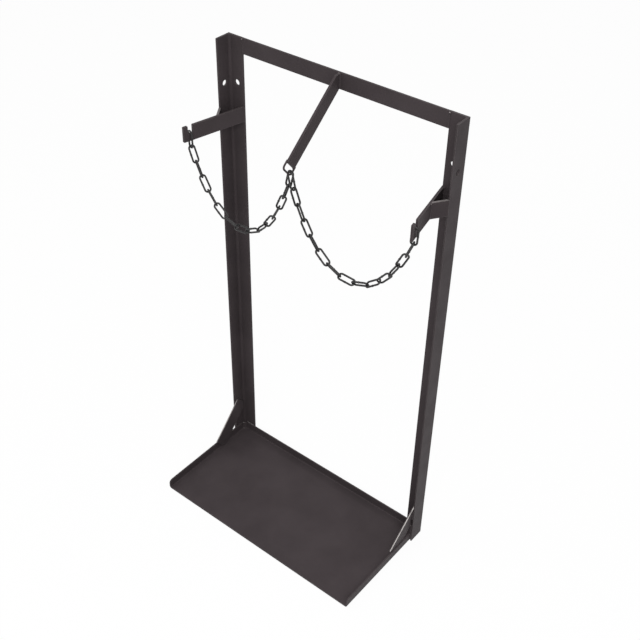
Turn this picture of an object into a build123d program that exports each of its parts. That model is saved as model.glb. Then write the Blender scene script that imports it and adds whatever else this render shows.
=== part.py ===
from build123d import *
import math
import os

# Two-cylinder gas cylinder bracket: a welded angle-iron frame with a floor
# tray, two slotted hook arms, a centre arm with a ring, and two slack chains.
# Millimetres. X is the width, +Y the back (wall) side, Z up. The origin is on
# the floor, in the middle of the footprint.

# ---- frame ----
overall_width = 580.0
overall_height = 1125.0
angle_leg = 40.0
angle_thick = 4.0
angle_root_r = 6.0
angle_toe_r = 2.0
rail_height = 35.0
bar_edge_r = 0.6
wall_hole_d = 13.0
wall_hole_gauge = 22.0
wall_hole_drop = 103.0

# ---- tray ----
tray_depth = 289.0
tray_thick = 3.0
tray_lip = 25.0
tray_bend_r = 3.0
tray_corner_relief = 9.0
tray_lip_front_r = 10.0

# ---- struts between tray and uprights ----
strut_width = 40.0
strut_thick = 4.0
strut_rise = 151.0
strut_top_z = 121.0
strut_toe_y = 120.0
strut_clear = 11.0
strut_floor_gap = 0.5

# ---- centre arm and ring ----
arm_thick = 5.0
centre_arm_height = 30.0
centre_arm_length = 206.0
centre_arm_slope = 40.8
centre_arm_top_drop = 3.0
centre_arm_low_drop = 32.5
ring_rod_d = 4.0
ring_reach = 14.5
ring_bend_r = 7.0
ring_overlap = 4.0

# ---- hook arms ----
hook_height = 35.0
hook_length = 154.0
hook_splay = 12.4
hook_drop = 153.5
hook_slot_width = 12.0
hook_slot_depth = 18.0
hook_slot_from = 131.0
hook_corner_r = 1.5
brace_angle = 34.0

# ---- chains ----
link_count = 15
link_wire_d = 4.0
link_inside = 33.8
link_width = 16.5
link_play = 0.4
chain_gap = 0.45
chain_lay = 33.0
chain_lay_ease = 0.6
first_link_splay = 13.0
last_link_lean = 3.0
last_link_shift = 1.0

# ---- positions that follow from the sizes above ----
back_y = (tray_depth + angle_thick) / 2
flange_y = back_y - angle_thick
side_x = overall_width / 2
inner_edge_x = side_x - angle_leg
tray_half = side_x - angle_thick
slope = math.radians(centre_arm_slope)
splay = math.radians(hook_splay)
hook_top_z = overall_height - hook_drop
hook_low_z = hook_top_z - hook_height
link_half = (link_inside + link_wire_d) / 2
link_pitch = link_inside - link_play


def mirrored(shape):
    return mirror(shape, about=Plane.YZ)


def prism(points, height):
    return extrude(make_face(Polyline(*points, close=True)), height)


# Rolled equal angle: root and toes rounded, a fixing hole in each flange.
def right_upright():
    section = make_face(
        Polyline(
            (side_x, back_y),
            (inner_edge_x, back_y),
            (inner_edge_x, flange_y),
            (tray_half, flange_y),
            (tray_half, back_y - angle_leg),
            (side_x, back_y - angle_leg),
            close=True,
        )
    )
    root = section.vertices().sort_by_distance((tray_half, flange_y))[0]
    section = fillet(root, angle_root_r)
    for toe in ((inner_edge_x, flange_y), (tray_half, back_y - angle_leg)):
        corner = section.vertices().sort_by_distance(toe)[0]
        section = fillet(corner, angle_toe_r)
    bar = extrude(section, overall_height)
    hole_z = overall_height - wall_hole_drop
    drill = Cylinder(wall_hole_d / 2, 4 * angle_thick)
    back_hole = Pos(side_x - wall_hole_gauge, back_y, hole_z) * Rot(90, 0, 0) * drill
    side_hole = Pos(side_x, back_y - wall_hole_gauge, hole_z) * Rot(0, 90, 0) * drill
    return bar - back_hole - side_hole


# Flat bar butted between the back flanges, flush with them front and back.
def top_rail():
    bar = Box(2 * inner_edge_x, angle_thick, rail_height)
    bar = fillet(bar.edges().filter_by(Axis.X), bar_edge_r)
    return Pos(0, back_y - angle_thick / 2, overall_height - rail_height / 2) * bar


# Folded sheet: floor with three upturned lips, open at the front, the back
# corners relieved so that it nests against the round roots of the angles.
def tray():
    outer_r = tray_bend_r + tray_thick
    front_y = flange_y - tray_depth
    lip_end_y = flange_y - tray_corner_relief

    def trough(half_width):
        outside = RectangleRounded(2 * half_width, 4 * tray_lip, outer_r)
        inside = RectangleRounded(2 * (half_width - tray_thick), 4 * tray_lip - 2 * tray_thick, tray_bend_r)
        ring = Pos(0, 2 * tray_lip) * outside - Pos(0, 2 * tray_lip) * inside
        return ring & Pos(0, tray_lip / 2) * Rectangle(2 * half_width, tray_lip)

    sides = extrude(Plane.XZ * trough(tray_half), lip_end_y - front_y)
    sides = Pos(0, lip_end_y, 0) * sides
    front_tops = sides.edges().filter_by(Axis.X).group_by(Axis.Y)[0].group_by(Axis.Z)[-1]
    sides = fillet(front_tops, tray_lip_front_r)
    deep = extrude(Plane.YZ * trough(tray_depth), tray_half - tray_corner_relief, both=True)
    keep = Box(2 * tray_half, tray_depth / 2, 2 * tray_lip)
    back = Pos(0, flange_y - tray_depth, 0) * deep
    back = back & Pos(0, flange_y - tray_depth / 4, tray_lip) * keep
    return sides + back


# Flat strut lapped inside the upright's side flange and the tray's side lip,
# leaning by the thickness of the lip so that it meets both.
def right_strut():
    floor = tray_thick + tray_bend_r + strut_floor_gap
    root = strut_width * math.sqrt(2)
    outline = [
        (strut_top_z - strut_rise, strut_top_z),
        (-strut_clear, 2 * strut_top_z - strut_rise + strut_clear),
        (-strut_clear, strut_rise - root - strut_clear),
        (floor - strut_rise + root, floor),
        (strut_rise - floor - 2 * strut_toe_y, floor),
        (-strut_toe_y, strut_rise - strut_toe_y),
    ]
    lean = math.degrees(math.atan2(tray_thick, strut_top_z - tray_lip))
    plate = extrude(Plane.YZ * make_face(Polyline(*outline, close=True)), -strut_thick)
    plate = Pos(0, 0, tray_lip) * Rot(0, lean, 0) * Pos(0, 0, -tray_lip) * plate
    return Pos(tray_half - tray_thick, back_y, 0) * plate


# The arm's end corner; local x runs out of the arm, local y down its end face.
def arm_end_plane():
    root_z = overall_height - centre_arm_low_drop + centre_arm_height / math.cos(slope)
    end_y = flange_y - centre_arm_length * math.cos(slope)
    end_z = root_z - centre_arm_length * math.sin(slope)
    out = (0, -math.cos(slope), -math.sin(slope))
    return Plane(origin=(0, end_y, end_z), x_dir=out, z_dir=(1, 0, 0))


# Flat bar on edge, mitred to the rail and sloping down to the ring. The tip of
# the mitre that would stand above the rail is cut off level.
def centre_arm():
    length = 2 * centre_arm_length
    bar = Box(length, centre_arm_height, arm_thick, align=(Align.MAX, Align.MIN, Align.CENTER))
    bar = fillet(bar.edges().filter_by(Axis.X), bar_edge_r)
    bar = arm_end_plane() * bar
    top = overall_height - centre_arm_top_drop
    room = Box(angle_leg, length, length, align=(Align.CENTER, Align.MAX, Align.MAX))
    return bar & Pos(0, flange_y, top) * room


# Rod bent to an open ring, its ends lapped on the arm's top and bottom edges.
def chain_ring():
    upper = -ring_rod_d / 2
    lower = centre_arm_height + ring_rod_d / 2
    path = arm_end_plane() * FilletPolyline(
        (-ring_overlap, upper),
        (ring_reach, upper),
        (ring_reach, lower),
        (-ring_overlap, lower),
        radius=ring_bend_r,
    )
    start = Plane(origin=path @ 0, z_dir=path % 0)
    return sweep(start * Circle(ring_rod_d / 2), path=path)


# Plan position on the right hook arm: along it from the flange, and out of it.
def hook_point(along, out):
    x = inner_edge_x + along * math.sin(splay) + out * math.cos(splay)
    y = flange_y - along * math.cos(splay) + out * math.sin(splay)
    return (x, y)


# Flat bar on edge from the flange's inner edge, slotted from above near the tip.
def right_hook_arm():
    outward = (math.cos(splay), math.sin(splay), 0)
    side = Plane(origin=(inner_edge_x, flange_y, hook_low_z), x_dir=(0, 0, 1), z_dir=outward)
    bar = Pos(hook_height / 2, (hook_length - arm_thick) / 2)
    bar *= Rectangle(hook_height, hook_length + arm_thick)
    slot_at = hook_slot_from + hook_slot_width / 2
    slot = Pos(hook_height, slot_at) * Rectangle(2 * hook_slot_depth, hook_slot_width)
    profile = bar - slot
    tip_corners = [v for v in profile.vertices() if v.Y > 0]
    profile = fillet(tip_corners, hook_corner_r)
    body = extrude(side * profile, arm_thick)
    wall = Box(4 * angle_leg, 2 * angle_leg, 4 * angle_leg)
    return body - Pos(inner_edge_x, flange_y + angle_leg, hook_top_z) * wall


# Where the line from a to b crosses the line from c to d, in plan.
def crossing(a, b, c, d):
    ab = (b[0] - a[0], b[1] - a[1])
    cd = (d[0] - c[0], d[1] - c[1])
    k = ((c[0] - a[0]) * cd[1] - (c[1] - a[1]) * cd[0]) / (ab[0] * cd[1] - ab[1] * cd[0])
    return (a[0] + k * ab[0], a[1] + k * ab[1])


# Short flat from the side flange's front edge in to the hook arm's outer face.
def right_arm_brace():
    edge_y = back_y - angle_leg
    lean = math.radians(brace_angle)
    inward = arm_thick / math.cos(lean)
    outer = (side_x, edge_y)
    inner = (side_x - inward, edge_y)
    step = (-math.sin(lean), -math.cos(lean))
    face = (hook_point(0, arm_thick), hook_point(hook_length, arm_thick))
    outer_end = crossing(outer, (outer[0] + step[0], outer[1] + step[1]), *face)
    inner_end = crossing(inner, (inner[0] + step[0], inner[1] + step[1]), *face)
    return Pos(0, 0, hook_low_z) * prism([outer, inner, inner_end, outer_end], hook_height)


# One long link of round wire, its length along local X and flat in XY.
def link():
    bend_r = (link_width - link_wire_d) / 2
    leg = link_half - bend_r
    path = Wire(
        [
            Edge.make_line((-leg, -bend_r, 0), (leg, -bend_r, 0)),
            Edge.make_three_point_arc((leg, -bend_r, 0), (leg + bend_r, 0, 0), (leg, bend_r, 0)),
            Edge.make_line((leg, bend_r, 0), (-leg, bend_r, 0)),
            Edge.make_three_point_arc((-leg, bend_r, 0), (-leg - bend_r, 0, 0), (-leg, -bend_r, 0)),
        ]
    )
    start = Plane(origin=(-leg, -bend_r, 0), z_dir=(1, 0, 0))
    return sweep(start * Circle(link_wire_d / 2), path=path)


# Joints of a row of equal links hanging from (0, 0) to (span, drop). Each
# link's slope grows by the same step, as the weight below it does.
def hanging_joints(count, span, drop):
    halvings = 60

    def walk(step, middle):
        points = [(0.0, 0.0)]
        for i in range(count):
            tilt = math.atan(step * (i - middle))
            x, z = points[-1]
            points.append((x + link_pitch * math.cos(tilt), z + link_pitch * math.sin(tilt)))
        return points

    def level(step):
        low, high = -2.0 * count, 3.0 * count
        for _ in range(halvings):
            middle = (low + high) / 2
            if walk(step, middle)[-1][1] > drop:
                low = middle
            else:
                high = middle
        return middle

    shallow, steep = 1e-3, 5.0
    for _ in range(halvings):
        step = math.sqrt(shallow * steep)
        if walk(step, level(step))[-1][0] > span:
            shallow = step
        else:
            steep = step
    return walk(step, level(step))


# Centre of a chain's first wire crown. The two chains hang side by side in the
# hollow of the ring's lower bend, one each side of its lowest point.
def ring_seat(side):
    hollow_r = ring_bend_r - (ring_rod_d + link_wire_d) / 2 - chain_gap
    spread = math.asin((link_wire_d + chain_gap) / (2 * hollow_r))
    turn = math.pi / 2 - slope - side * spread
    x = ring_reach - ring_bend_r + hollow_r * math.cos(turn)
    y = centre_arm_height + ring_rod_d / 2 - ring_bend_r + hollow_r * math.sin(turn)
    return arm_end_plane().from_local_coords(Vector(x, y, 0))


# Centre of the last link's crown, astride the plate in the hook's slot.
def hook_seat():
    bend_r = (link_width - link_wire_d) / 2
    inside_r = bend_r - link_wire_d / 2
    bears_at = arm_thick / 2 + last_link_shift
    rise = inside_r - math.sqrt(inside_r**2 - bears_at**2)
    x, y = hook_point(hook_slot_from + hook_slot_width / 2, bears_at)
    return Vector(x, y, hook_top_z - hook_slot_depth + rise + link_wire_d / 2 + chain_gap)


# Turn of each link about its own length: every second link is turned a quarter.
# The end links lie square to the ring and to the hook plate, and the chain
# twists from them to its free lay over the next few links.
def link_rolls(ring_roll, hook_roll):
    lay = math.radians(chain_lay)
    rolls = []
    for i in range(link_count):
        roll = lay + (ring_roll - lay) * chain_lay_ease**i
        roll += (hook_roll - lay) * chain_lay_ease ** (link_count - 1 - i)
        rolls.append(roll - math.radians(90) * (i % 2))
    return rolls


# All links of one chain, numbered from the ring. side is +1 right, -1 left.
def chain(side):
    near = ring_seat(side)
    far = hook_seat()
    far = Vector(side * far.X, far.Y, far.Z)
    level = Vector(far.X - near.X, far.Y - near.Y, 0)
    span = level.length
    ahead = level / span
    up = Vector(0, 0, 1)
    back = up.cross(ahead) * side

    def at(h, z):
        return near + ahead * h + up * z

    def line(angle):
        return ahead * math.sin(angle) - up * math.cos(angle)

    first = line(math.radians(first_link_splay))
    last = line(-math.radians(last_link_lean))
    hang = link_half + link_pitch / 2
    start = near + first * hang
    end = far + last * hang
    gap = end - start
    row = hanging_joints(link_count - 2, gap.dot(ahead), gap.Z)
    h0 = (start - near).dot(ahead)
    z0 = (start - near).Z
    joints = [at(h0 + h, z0 + z) for h, z in row]
    middles = [(near + first * link_half, first)]
    for a, b in zip(joints, joints[1:]):
        middles.append(((a + b) / 2, (b - a).normalized()))
    middles.append((far + last * link_half, last * -1))

    ring_roll = math.atan2(ahead.Y, abs(ahead.X))
    hook_roll = splay - ring_roll
    links = []
    rolls = link_rolls(ring_roll, hook_roll)
    for (centre, along), roll in zip(middles, rolls):
        across = (along * side).cross(back)
        normal = back * math.cos(roll) + across * math.sin(roll)
        links.append(Plane(origin=centre, x_dir=along, z_dir=normal) * link())
    return links


def build():
    nodes = {
        "tray": tray(),
        "top_rail": top_rail(),
        "centre_arm": centre_arm(),
        "chain_ring": chain_ring(),
    }
    pairs = {
        "upright": right_upright(),
        "hook_arm": right_hook_arm(),
        "arm_brace": right_arm_brace(),
        "strut": right_strut(),
    }
    for name, shape in pairs.items():
        nodes["right_" + name] = shape
        nodes["left_" + name] = mirrored(shape)
    for name, side in (("left", -1), ("right", 1)):
        for number, shape in enumerate(chain(side), 1):
            nodes[f"{name}_link_{number:02d}"] = shape
    return nodes


os.makedirs("parts", exist_ok=True)
for name, shape in build().items():
    export_step(shape, f"parts/{name}.step")
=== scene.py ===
import math

import bpy
import numpy as np
from mathutils import Matrix, Vector


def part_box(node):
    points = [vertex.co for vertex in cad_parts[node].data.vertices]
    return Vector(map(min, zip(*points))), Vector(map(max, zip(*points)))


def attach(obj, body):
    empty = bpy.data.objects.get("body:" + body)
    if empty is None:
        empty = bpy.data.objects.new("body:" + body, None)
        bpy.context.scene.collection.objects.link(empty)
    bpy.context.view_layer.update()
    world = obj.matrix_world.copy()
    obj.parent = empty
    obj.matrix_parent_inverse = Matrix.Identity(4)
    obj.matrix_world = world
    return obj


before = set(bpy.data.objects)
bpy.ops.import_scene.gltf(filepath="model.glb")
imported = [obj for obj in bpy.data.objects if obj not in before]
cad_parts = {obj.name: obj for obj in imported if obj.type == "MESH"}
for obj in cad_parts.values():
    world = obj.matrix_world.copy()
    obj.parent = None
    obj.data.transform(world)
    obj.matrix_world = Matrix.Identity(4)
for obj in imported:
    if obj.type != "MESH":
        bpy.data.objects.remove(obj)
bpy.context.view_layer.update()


# ---- Camera ----
# A standing person's view from the right-hand front corner, looking down on
# the bracket, with a slightly long lens so that the uprights converge gently.
camera_distance_right = 1.0875
camera_distance_front = 1.3004
camera_height = 1.9627
camera_turn = 39.81
camera_dip = 38.777
camera_lens = 56.98
camera_shift = (0.0423, 0.0035)

bpy.ops.object.camera_add(
    location=(camera_distance_right, -camera_distance_front, camera_height),
    rotation=(math.radians(90 - camera_dip), 0, math.radians(camera_turn)),
)
camera = bpy.context.object
camera.name = "camera"
camera.data.lens = camera_lens
camera.data.sensor_width = 36.0
camera.data.shift_x, camera.data.shift_y = camera_shift
bpy.context.scene.camera = camera


# ---- Welded frame: angle, flat bar and folded tray ----
# Mild steel, degreased and powder coated after welding in a dark brown-grey
# fine texture. Outside edges are painted paler, a painted highlight along the arrises.
coat_dark = (0.0490, 0.0405, 0.0427, 1)
coat_light = (0.0590, 0.0489, 0.0515, 1)
coat_fleck = (0.082, 0.068, 0.072, 1)
# Paler grey of the painted highlight along outside edges.
coat_edge_highlight = (0.110, 0.098, 0.098, 1)
coat_grain = 1300.0
coat_peel = 260.0
edge_highlight_width = 0.0010
coat_smoothest = 0.44
coat_roughest = 0.54
thick_film_gloss = 0.12
coat_specular = 0.10
coat_specular_tint = (1.0, 0.80, 0.86, 1)
bare_steel = (0.62, 0.59, 0.57, 1)


def new_material(name):
    material = bpy.data.materials.new(name)
    material.use_nodes = True
    material.node_tree.nodes.clear()
    return material, material.node_tree.nodes, material.node_tree.links


def noise(nodes, links, scale, detail, rough=0.5):
    place = nodes.new("ShaderNodeTexCoord")
    texture = nodes.new("ShaderNodeTexNoise")
    texture.inputs["Scale"].default_value = scale
    texture.inputs["Detail"].default_value = detail
    texture.inputs["Roughness"].default_value = rough
    links.new(place.outputs["Object"], texture.inputs["Vector"])
    return texture.outputs["Fac"]


def spread(nodes, links, value, low, high, to_low, to_high):
    ramp = nodes.new("ShaderNodeMapRange")
    ramp.inputs["From Min"].default_value = low
    ramp.inputs["From Max"].default_value = high
    ramp.inputs["To Min"].default_value = to_low
    ramp.inputs["To Max"].default_value = to_high
    links.new(value, ramp.inputs["Value"])
    return ramp.outputs["Result"]


def blend_colour(nodes, links, factor, first, second):
    mix = nodes.new("ShaderNodeMix")
    mix.data_type = "RGBA"
    links.new(factor, mix.inputs["Factor"])
    for socket, colour in (("A", first), ("B", second)):
        target = [s for s in mix.inputs if s.name == socket and s.type == "RGBA"][0]
        if isinstance(colour, tuple):
            target.default_value = colour
        else:
            links.new(colour, target)
    return [s for s in mix.outputs if s.type == "RGBA"][0]


# How near a point is to an outside corner, from 0 on a flat to 1 on the arris,
# broken up so that the line is not even. It places the painted highlight on the arrises.
def painted_highlight_line(nodes, links, width, breakup):
    depth = nodes.new("ShaderNodeAmbientOcclusion")
    depth.samples = 8
    depth.inside = True
    depth.only_local = True
    depth.inputs["Distance"].default_value = width
    near = spread(nodes, links, depth.outputs["AO"], 0.95, 0.55, 0.0, 1.0)
    patchy = spread(nodes, links, noise(nodes, links, breakup, 3.0), 0.30, 0.62, 0.35, 1.0)
    return product(nodes, links, near, patchy)


def product(nodes, links, first, second):
    both = nodes.new("ShaderNodeMath")
    both.operation = "MULTIPLY"
    links.new(first, both.inputs[0])
    links.new(second, both.inputs[1])
    return both.outputs["Value"]


# Where a bar's sheared edge, which faces along one line, has been rubbed.
def facing(nodes, links, direction):
    surface = nodes.new("ShaderNodeNewGeometry")
    turn = nodes.new("ShaderNodeVectorMath")
    turn.operation = "DOT_PRODUCT"
    turn.inputs[1].default_value = direction
    links.new(surface.outputs["True Normal"], turn.inputs[0])
    return spread(nodes, links, turn.outputs["Value"], 0.97, 0.99, 0.0, 1.0)


def stack_bumps(nodes, links, layers):
    normal = None
    for height, strength, distance in layers:
        bump = nodes.new("ShaderNodeBump")
        bump.inputs["Strength"].default_value = strength
        bump.inputs["Distance"].default_value = distance
        links.new(height, bump.inputs["Height"])
        if normal:
            links.new(normal, bump.inputs["Normal"])
        normal = bump.outputs["Normal"]
    return normal


# The part of a leaning strut's edge that lies outside a line, where x grows with
# height by lean from start at the floor.
def outer_strip(nodes, links, start, lean):
    place = nodes.new("ShaderNodeTexCoord")
    parts = nodes.new("ShaderNodeSeparateXYZ")
    links.new(place.outputs["Object"], parts.inputs["Vector"])
    out = nodes.new("ShaderNodeMath")
    out.operation = "ABSOLUTE"
    links.new(parts.outputs["X"], out.inputs[0])
    upright = nodes.new("ShaderNodeMath")
    upright.operation = "MULTIPLY_ADD"
    upright.inputs[1].default_value = -lean
    links.new(parts.outputs["Z"], upright.inputs[0])
    links.new(out.outputs["Value"], upright.inputs[2])
    return spread(nodes, links, upright.outputs["Value"], start, start + 0.0004, 0.0, 1.0)


# rubbed is the way that an edge faces where sliding cylinders have worn into the
# coat, or None, wear how far and strip where on it. film is 1 where the coat has
# run thick and dried glossier, and 0 elsewhere.
def powder_coat(name, rubbed=None, wear=1.0, strip=None, film=0.0):
    material, nodes, links = new_material(name)
    shader = nodes.new("ShaderNodeBsdfPrincipled")
    output = nodes.new("ShaderNodeOutputMaterial")
    links.new(shader.outputs["BSDF"], output.inputs["Surface"])
    cloud = spread(nodes, links, noise(nodes, links, 11.0, 5.0), 0.35, 0.65, 0.0, 1.0)
    body = blend_colour(nodes, links, cloud, coat_dark, coat_light)
    grain = noise(nodes, links, coat_grain, 2.0)
    fleck = spread(nodes, links, grain, 0.60, 0.75, 0.0, 0.30)
    body = blend_colour(nodes, links, fleck, body, coat_fleck)
    # Outside edges mixed towards a paler grey: a painted highlight along the arrises.
    edge = painted_highlight_line(nodes, links, edge_highlight_width, 120.0)
    body = blend_colour(nodes, links, edge, body, coat_edge_highlight)
    smoothest = coat_smoothest - thick_film_gloss * film
    roughest = coat_roughest - thick_film_gloss * film
    mottle = noise(nodes, links, 23.0, 6.0, 0.6)
    satin = spread(nodes, links, mottle, 0.3, 0.7, smoothest, roughest)
    if rubbed:
        patches = spread(nodes, links, noise(nodes, links, 55.0, 4.0), 0.32, 0.50, 0.35 * wear, wear)
        bare = product(nodes, links, facing(nodes, links, rubbed), patches)
        if strip:
            bare = product(nodes, links, bare, outer_strip(nodes, links, *strip))
        body = blend_colour(nodes, links, bare, body, bare_steel)
        links.new(bare, shader.inputs["Metallic"])
    links.new(body, shader.inputs["Base Color"])
    links.new(satin, shader.inputs["Roughness"])
    shader.inputs["Specular IOR Level"].default_value = coat_specular
    shader.inputs["Specular Tint"].default_value = coat_specular_tint
    peel = noise(nodes, links, coat_peel, 2.0)
    bumps = stack_bumps(nodes, links, [(peel, 0.25, 0.0004), (grain, 0.30, 0.00012)])
    links.new(bumps, shader.inputs["Normal"])
    return material


def dress(node, material):
    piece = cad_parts[node]
    piece.data.materials.clear()
    piece.data.materials.append(material)


coat = powder_coat("powder_coat")
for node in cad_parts:
    if "_link_" not in node:
        dress(node, coat)

# The struts' upper edges face forward and up, and are worn along their outer half.
strut_edge_faces = (0, -math.sqrt(0.5), math.sqrt(0.5))
lip_inside_x = 0.283
lip_height = 0.025
strut_shift = 0.003
strut_over_lip = 0.096
strut_lean = strut_shift / strut_over_lip
strut_foot_x = lip_inside_x - lip_height * strut_lean
strut_worn_width = 0.0024
strut_coat = powder_coat(
    "powder_coat_strut",
    rubbed=strut_edge_faces,
    wear=0.9,
    strip=(strut_foot_x - strut_worn_width, strut_lean),
)
for node in ("left_strut", "right_strut"):
    dress(node, strut_coat)

brace_coat = powder_coat("powder_coat_brace", rubbed=(0, 0, 1), wear=0.22)
for node in ("left_arm_brace", "right_arm_brace"):
    dress(node, brace_coat)


# ---- Welds of the frame ----
# Short fillets of gas-shielded weld, laid before the coating, so the same coat
# lies on them, thicker in their hollows. Each is a row of overlapping drops.
mm = 0.001
drop_pitch = 1.9 * mm
drop_length = 4.4 * mm
drop_unevenness = 0.16 * mm
weld_voxel = 0.38 * mm
worn_crown = Vector((0.1, -0.6, 0.8)).normalized()
weld_coat = powder_coat("powder_coat_weld", rubbed=worn_crown, wear=0.55, film=1.0)
up = Vector((0, 0, 1))
low_corner, high_corner = (Vector(c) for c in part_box("right_upright"))
leg = high_corner.x - low_corner.x
angle_thick = 4.0 * mm
side_x = high_corner.x
back_y = high_corner.y
flange_y = back_y - angle_thick
inner_edge = side_x - leg
flange_edge_y = back_y - leg
top_z = high_corner.z


# One seam from start to end, its crown facing out, width across and height proud.
def seam(start, end, out, width, height):
    start, end, out = Vector(start), Vector(end), Vector(out).normalized()
    along = (end - start).normalized()
    across = out.cross(along)
    drops = max(2, round((end - start).length / drop_pitch) + 1)
    step = (end - start).length / (drops - 1)
    bpy.ops.object.select_all(action="DESELECT")
    bpy.ops.mesh.primitive_uv_sphere_add(segments=14, ring_count=8, radius=1.0, location=(0, 0, 0))
    bead = bpy.context.object
    bpy.ops.object.mode_set(mode="EDIT")
    bpy.ops.mesh.select_all(action="SELECT")
    bpy.ops.transform.resize(value=(drop_length / 2, width / 2, height))
    bpy.ops.object.mode_set(mode="OBJECT")
    row = bead.modifiers.new("row", "ARRAY")
    row.count = drops
    row.use_relative_offset = False
    row.use_constant_offset = True
    row.constant_offset_displace = (step, 0, 0)
    bpy.ops.object.modifier_apply(modifier=row.name)
    bpy.ops.object.mode_set(mode="EDIT")
    bpy.ops.mesh.select_all(action="SELECT")
    bpy.ops.transform.vertex_random(offset=drop_unevenness, seed=drops)
    bpy.ops.object.mode_set(mode="OBJECT")
    place = Matrix((along, across, out)).transposed().to_4x4()
    place.translation = start
    bead.data.transform(place)
    return bead


# Joins one joint's seams into a single skin of weld metal.
def weld(name, seams):
    beads = [seam(*one) for one in seams]
    bpy.ops.object.select_all(action="DESELECT")
    for bead in beads:
        bead.select_set(True)
    piece = beads[0]
    bpy.context.view_layer.objects.active = piece
    if len(beads) > 1:
        bpy.ops.object.join()
    piece.name = name
    skin = piece.modifiers.new("skin", "REMESH")
    skin.mode = "VOXEL"
    skin.voxel_size = weld_voxel
    bpy.ops.object.modifier_apply(modifier=skin.name)
    settle = piece.modifiers.new("settle", "SMOOTH")
    settle.factor = 0.5
    settle.iterations = 2
    bpy.ops.object.modifier_apply(modifier=settle.name)
    bpy.ops.object.shade_smooth()
    piece.data.materials.clear()
    piece.data.materials.append(weld_coat)
    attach(piece, "frame")


# The same seams on the other side of the bracket.
def mirrored(seams, side):
    def flip(point):
        return Vector((side * point[0], point[1], point[2]))

    return [(flip(a), flip(b), flip(out), width, height) for a, b, out, width, height in seams]


# Rail to uprights: a butt seam down the front of each joint, its back ground flush.
rail_low = Vector(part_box("top_rail")[0])
rail_seam = [
    (
        (inner_edge, flange_y + 0.4 * mm, rail_low.z + 3 * mm),
        (inner_edge, flange_y + 0.4 * mm, top_z - 3.2 * mm),
        (0, -1, 0),
        5.4 * mm,
        1.6 * mm,
    ),
    (
        (inner_edge, flange_y + 0.2 * mm, top_z - 5.0 * mm),
        (inner_edge, flange_y + 0.2 * mm, top_z - 3.2 * mm),
        (0, -1, 0),
        6.4 * mm,
        2.8 * mm,
    ),
]

# Hook arm to the back flange: a fillet outside and a seam along the flange's edge.
hook_low, hook_high = (Vector(c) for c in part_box("right_hook_arm"))
hook_thick = 5.0 * mm
splay = math.radians(12.4)
hook_out = Vector((math.cos(splay), math.sin(splay), 0))
hook_along = Vector((math.sin(splay), -math.cos(splay), 0))
hook_root = Vector((inner_edge, flange_y, 0))
hook_face = hook_root + hook_out * hook_thick + hook_along * hook_thick * math.tan(splay)
seam_end = 2.5 * mm


# A seam that stands at a point in plan, nearly as high as the hook arm.
def arm_high_seam(point, out, width, height):
    low = point + up * (hook_low.z + seam_end)
    high = point + up * (hook_high.z - seam_end)
    return (low, high, out, width, height)


hook_lap = hook_root + Vector((0.8 * mm, 0.6 * mm, 0))
hook_seams = [
    arm_high_seam(hook_face, hook_out - Vector((0, 1, 0)), 4.6 * mm, 2.2 * mm),
    arm_high_seam(hook_lap, (-1, -0.25, 0), 4.2 * mm, 1.5 * mm),
]

# Brace to the hook arm's outer face and to the side flange's front edge.
brace_turn = math.radians(34.0)
brace_thick = 5.0 * mm
brace_along = Vector((-math.sin(brace_turn), -math.cos(brace_turn), 0))
brace_out = Vector((math.cos(brace_turn), -math.sin(brace_turn), 0))
brace_outer = Vector((side_x, flange_edge_y, 0))
brace_inner = Vector((side_x - brace_thick / math.cos(brace_turn), flange_edge_y, 0))


# Where a line in plan from a point meets the hook arm's outer face.
def on_hook_face(point, along):
    return point + along * (hook_face - point).dot(hook_out) / along.dot(hook_out)


brace_front = on_hook_face(brace_outer, brace_along)
brace_back = on_hook_face(brace_inner, brace_along)
brace_outer_lap = brace_outer + Vector((-1.5 * mm, 0.3 * mm, 0))
brace_inner_lap = brace_inner + Vector((1.6 * mm, 0.5 * mm, 0))
brace_seams = [
    arm_high_seam(brace_front, brace_out + hook_out, 4.8 * mm, 2.2 * mm),
    arm_high_seam(brace_back, hook_out - brace_out, 4.8 * mm, 2.4 * mm),
    arm_high_seam(brace_outer_lap, (0.9, -0.45, 0), 4.2 * mm, 1.5 * mm),
    arm_high_seam(brace_inner_lap, (-0.8, 0.6, 0), 4.4 * mm, 1.9 * mm),
]

# Strut to the side flange's front edge and back, and stitched to the tray's lip.
lip_top = 25.0 * mm
lip_thick = 3.0 * mm
strut_low, strut_high = (Vector(c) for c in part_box("right_strut"))
lip_x = side_x - angle_thick - lip_thick
lean = lip_thick / (strut_high.z - lip_top)


# The strut's outer face at a height.
def strut_face(z):
    return lip_x + lean * (z - lip_top)


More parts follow.
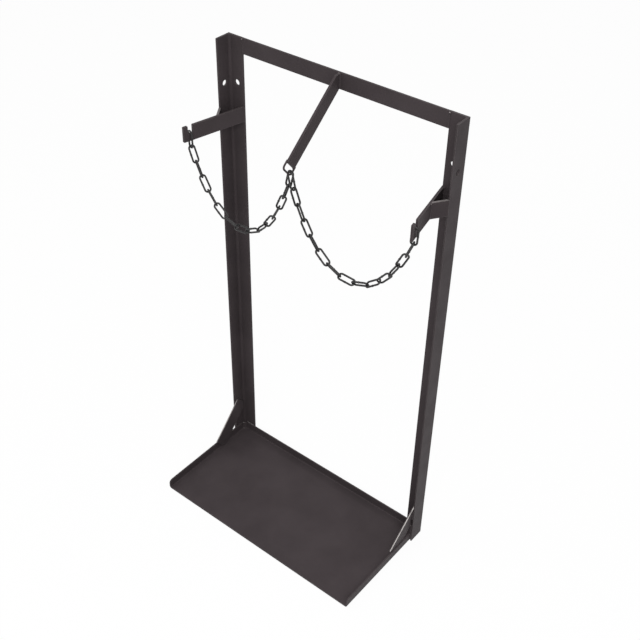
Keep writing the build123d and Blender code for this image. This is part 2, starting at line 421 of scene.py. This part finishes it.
strut_tip_y = strut_high.z - lip_top + strut_low.y - 0.6 * mm
strut_seams = [
    (
        (strut_face(78 * mm) + 0.8 * mm, flange_edge_y + 0.4 * mm, 78 * mm),
        (strut_face(102 * mm) + 0.6 * mm, flange_edge_y + 0.4 * mm, 102 * mm),
        (-0.3, -1, 0),
        4.8 * mm,
        2.0 * mm,
    ),
    (
        (strut_face(30 * mm) + 1.2 * mm, flange_edge_y + 0.6 * mm, 30 * mm),
        (strut_face(52 * mm) + 1.0 * mm, flange_edge_y + 0.6 * mm, 52 * mm),
        (-0.2, -1, 0),
        5.0 * mm,
        2.0 * mm,
    ),
    (
        (lip_x + 0.4 * mm, strut_low.y + 12 * mm, lip_top),
        (lip_x + 0.4 * mm, strut_low.y + 34 * mm, lip_top),
        (0.7, 0, 0.9),
        4.4 * mm,
        1.9 * mm,
    ),
    (
        (lip_x + 0.4 * mm, strut_low.y + 54 * mm, lip_top),
        (lip_x + 0.4 * mm, strut_low.y + 74 * mm, lip_top),
        (0.7, 0, 0.9),
        4.4 * mm,
        1.9 * mm,
    ),
    (
        (strut_face(strut_high.z) - 0.6 * mm, strut_high.y - 19 * mm, strut_high.z - 0.4 * mm),
        (strut_face(strut_high.z) - 0.6 * mm, strut_high.y - 2 * mm, strut_high.z - 17.5 * mm),
        (-0.6, 0.6, 0.6),
        4.6 * mm,
        2.0 * mm,
    ),
]

# Tray to the angles: along the back lip's top, down the side flange's edge, and
# the notch in the tray's back corner closed with weld.
corner_x = side_x - angle_thick - 5.2 * mm
corner_y = flange_y - 5.2 * mm
tray_seams = [
    ((corner_x, corner_y, 2.5 * mm), (corner_x, corner_y, 3.2 * mm), (-1, -1, 0), 12.6 * mm, 6.0 * mm),
    ((corner_x, corner_y, 4 * mm), (corner_x, corner_y, 22 * mm), (-1, -1, 0), 12.6 * mm, 2.6 * mm),
    (
        (inner_edge + 4 * mm, flange_y - 0.6 * mm, lip_top + 0.2 * mm),
        (inner_edge + 24 * mm, flange_y - 0.6 * mm, lip_top + 0.2 * mm),
        (0, -0.7, 0.7),
        5.0 * mm,
        2.0 * mm,
    ),
    (
        (side_x - angle_thick + 0.5 * mm, flange_edge_y + 0.3 * mm, 7 * mm),
        (side_x - angle_thick + 0.5 * mm, flange_edge_y + 0.3 * mm, 22 * mm),
        (0.7, -0.7, 0),
        4.4 * mm,
        1.8 * mm,
    ),
]

for name, side in (("right", 1), ("left", -1)):
    weld("weld_" + name + "_rail", mirrored(rail_seam, side))
    weld("weld_" + name + "_hook_arm", mirrored(hook_seams, side))
    weld("weld_" + name + "_brace", mirrored(brace_seams, side))
    weld("weld_" + name + "_strut", mirrored(strut_seams, side))
    weld("weld_" + name + "_tray", mirrored(tray_seams, side))

# Centre arm to the rail: a fillet each side and one across the top.
arm_low, arm_high = (Vector(c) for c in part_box("centre_arm"))
arm_half = arm_high.x
arm_root_low = 1092.5 * mm
arm_seams = [
    (
        (side * (arm_half + 0.1 * mm), flange_y - 0.1 * mm, arm_root_low + 2.5 * mm),
        (side * (arm_half + 0.1 * mm), flange_y - 0.1 * mm, arm_high.z - 1.5 * mm),
        (side, -1, 0),
        4.8 * mm,
        2.2 * mm,
    )
    for side in (1, -1)
]
arm_seams.append(
    (
        (-1.6 * mm, flange_y - 0.3 * mm, arm_high.z),
        (1.6 * mm, flange_y - 0.3 * mm, arm_high.z),
        (0, -0.7, 0.7),
        4.0 * mm,
        1.7 * mm,
    )
)
weld("weld_centre_arm", arm_seams)

# Ring's two legs lapped on the arm's end: a short fillet on each side of each.
arm_slope = math.radians(40.8)
arm_out = Vector((0, -math.cos(arm_slope), -math.sin(arm_slope)))
arm_down = Vector((0, math.sin(arm_slope), -math.cos(arm_slope)))
arm_depth = 30.0 * mm
arm_corner = Vector((0, arm_low.y, arm_low.z + arm_depth * math.cos(arm_slope)))
ring_lap = 3.4 * mm
ring_seams = []
for side in (1, -1):
    for depth, facing_way in ((-0.4 * mm, -1), (arm_depth + 0.4 * mm, 1)):
        across = Vector((side, 0, 0))
        start = arm_corner + arm_down * depth + across * 1.7 * mm
        ring_seams.append(
            (
                start - arm_out * ring_lap,
                start - arm_out * 0.4 * mm,
                across + arm_down * facing_way * 0.3,
                3.0 * mm,
                1.3 * mm,
            )
        )
weld("weld_ring", ring_seams)


# ---- Chains ----
# Two lengths of long-link chain, electrically welded and blackened. The links
# rub on one another and on the frame, so the black is paler in small patches.
chain_dark = (0.0165, 0.0158, 0.0162, 1)
chain_light = (0.0300, 0.0285, 0.0285, 1)
chain_worn = (0.115, 0.112, 0.112, 1)


def chain_black():
    material, nodes, links = new_material("chain_black")
    shader = nodes.new("ShaderNodeBsdfPrincipled")
    output = nodes.new("ShaderNodeOutputMaterial")
    links.new(shader.outputs["BSDF"], output.inputs["Surface"])
    cloud = spread(nodes, links, noise(nodes, links, 60.0, 4.0), 0.35, 0.65, 0.0, 1.0)
    body = blend_colour(nodes, links, cloud, chain_dark, chain_light)
    rub = spread(nodes, links, noise(nodes, links, 190.0, 5.0, 0.65), 0.58, 0.72, 0.0, 0.7)
    body = blend_colour(nodes, links, rub, body, chain_worn)
    links.new(body, shader.inputs["Base Color"])
    shader.inputs["Metallic"].default_value = 0.25
    satin = spread(nodes, links, noise(nodes, links, 90.0, 4.0), 0.3, 0.7, 0.34, 0.50)
    links.new(satin, shader.inputs["Roughness"])
    draw = noise(nodes, links, 700.0, 3.0)
    links.new(stack_bumps(nodes, links, [(draw, 0.30, 0.00015)]), shader.inputs["Normal"])
    return material


black = chain_black()
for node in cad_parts:
    if "_link_" in node:
        dress(node, black)


# ---- Butt welds of the links ----
# Every link is bent from one length of wire and closed by resistance welding in
# the middle of a leg, which leaves a slight swollen collar there.
wire_d = 4.0 * mm
link_width = 16.5 * mm
collar_swell = 0.42 * mm
collar_length = 2.7 * mm
collar_flash = 1.05

bpy.ops.object.select_all(action="DESELECT")
bpy.ops.mesh.primitive_uv_sphere_add(segments=20, ring_count=12, radius=1.0, location=(0, 0, 0))
collar = bpy.context.object
bpy.ops.object.mode_set(mode="EDIT")
bpy.ops.mesh.select_all(action="SELECT")
collar_r = wire_d / 2 + collar_swell
bpy.ops.transform.resize(value=(collar_r, collar_r, collar_length))
bpy.ops.mesh.select_all(action="DESELECT")
bpy.ops.object.mode_set(mode="OBJECT")
for vertex in collar.data.vertices:
    vertex.select = abs(vertex.co.z) < 0.01 * mm
bpy.ops.object.mode_set(mode="EDIT")
bpy.ops.transform.resize(value=(collar_flash, collar_flash, 1))
bpy.ops.object.mode_set(mode="OBJECT")


# A link's middle, the way it runs and the way across it, to the welded leg.
def link_lie(node):
    points = np.array([tuple(v.co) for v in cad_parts[node].data.vertices])
    turned = np.linalg.svd(points - points.mean(axis=0), full_matrices=False)[2]
    spans = points @ turned.T
    middle = (spans.min(axis=0) + spans.max(axis=0)) / 2 @ turned
    along, across = Vector(turned[0]), Vector(turned[1])
    if across.dot(Vector((0.4, -0.6, 0.7))) < 0:
        across = -across
    return Vector(middle), along, across


for side in ("left", "right"):
    collars = []
    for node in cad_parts:
        if node.startswith(side + "_link_"):
            middle, along, across = link_lie(node)
            place = Matrix((across, along.cross(across), along)).transposed().to_4x4()
            place.translation = middle + across * (link_width - wire_d) / 2
            one = collar.copy()
            one.data = collar.data.copy()
            one.data.transform(place)
            bpy.context.collection.objects.link(one)
            collars.append(one)
    bpy.ops.object.select_all(action="DESELECT")
    for one in collars:
        one.select_set(True)
    bpy.context.view_layer.objects.active = collars[0]
    bpy.ops.object.join()
    welded = collars[0]
    welded.name = "weld_" + side + "_links"
    bpy.ops.object.shade_smooth()
    welded.data.materials.append(black)
    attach(welded, side + "_chain")

bpy.data.objects.remove(collar)


# ---- Floor and light ----
# A plain white studio floor under soft boxes at the front right, on the left and
# overhead. Two small ones, front and back, light the worn edges.
floor_size = 12.0
floor_drop = 0.0004
floor_bounce = (0.50, 0.50, 0.50, 1)
floor_seen = (0.92, 0.92, 0.92, 1)
floor_glow_share = 0.95
world_soft = 0.54
world_white = 1.0

bpy.ops.object.select_all(action="DESELECT")
bpy.ops.mesh.primitive_plane_add(size=floor_size, location=(0, 0, -floor_drop))
floor = bpy.context.object
floor.name = "studio_floor"


def studio_white():
    material, nodes, links = new_material("studio_white")
    output = nodes.new("ShaderNodeOutputMaterial")
    paint = nodes.new("ShaderNodeBsdfDiffuse")
    seen = nodes.new("ShaderNodeLightPath")
    in_view = seen.outputs["Is Camera Ray"]
    tone = blend_colour(nodes, links, in_view, floor_bounce, floor_seen)
    links.new(tone, paint.inputs["Color"])
    glow = nodes.new("ShaderNodeEmission")
    glow.inputs["Strength"].default_value = 1.0
    either = nodes.new("ShaderNodeMath")
    either.operation = "MAXIMUM"
    links.new(in_view, either.inputs[0])
    links.new(seen.outputs["Is Glossy Ray"], either.inputs[1])
    share = nodes.new("ShaderNodeMath")
    share.operation = "MULTIPLY"
    share.inputs[1].default_value = floor_glow_share
    links.new(either.outputs["Value"], share.inputs[0])
    mix = nodes.new("ShaderNodeMixShader")
    links.new(share.outputs["Value"], mix.inputs["Fac"])
    links.new(paint.outputs["BSDF"], mix.inputs[1])
    links.new(glow.outputs["Emission"], mix.inputs[2])
    links.new(mix.outputs["Shader"], output.inputs["Surface"])
    return material


floor.data.materials.append(studio_white())

world = bpy.data.worlds.new("studio")
bpy.context.scene.world = world
world.use_nodes = True
world_nodes = world.node_tree.nodes
world_links = world.node_tree.links
world_nodes.clear()
world_out = world_nodes.new("ShaderNodeOutputWorld")
soft = world_nodes.new("ShaderNodeBackground")
soft.inputs["Strength"].default_value = world_soft
white = world_nodes.new("ShaderNodeBackground")
white.inputs["Strength"].default_value = world_white
for sky in (soft, white):
    sky.inputs["Color"].default_value = (1, 1, 1, 1)
world_seen = world_nodes.new("ShaderNodeLightPath")
world_mix = world_nodes.new("ShaderNodeMixShader")
world_links.new(world_seen.outputs["Is Camera Ray"], world_mix.inputs["Fac"])
world_links.new(soft.outputs["Background"], world_mix.inputs[1])
world_links.new(white.outputs["Background"], world_mix.inputs[2])
world_links.new(world_mix.outputs["Shader"], world_out.inputs["Surface"])


def softbox(name, at, target, size, power):
    bpy.ops.object.light_add(type="AREA", location=at)
    lamp = bpy.context.object
    lamp.name = name
    lamp.data.shape = "SQUARE"
    lamp.data.size = size
    lamp.data.energy = power
    aim = Vector(target) - Vector(at)
    lamp.rotation_euler = aim.to_track_quat("-Z", "Y").to_euler()


softbox("key_front_right", (1.5, -2.2, 2.6), (0, 0, 0.55), 1.5, 44)
softbox("side_right", (2.8, 0.6, 1.6), (0, 0, 0.6), 1.6, 2.5)
softbox("fill_left", (-2.6, -1.6, 1.8), (0, 0, 0.6), 1.8, 8)
softbox("top", (0.0, -0.2, 3.4), (0, 0, 0.3), 1.8, 24)
softbox("glint_front", (-0.9, -2.7, 2.1), (0.29, 0.07, 0.08), 0.5, 3.5)
softbox("glint_back", (-1.22, 2.53, 2.77), (0.27, 0.06, 0.95), 0.6, 6)

bpy.context.scene.view_settings.view_transform = "Standard"
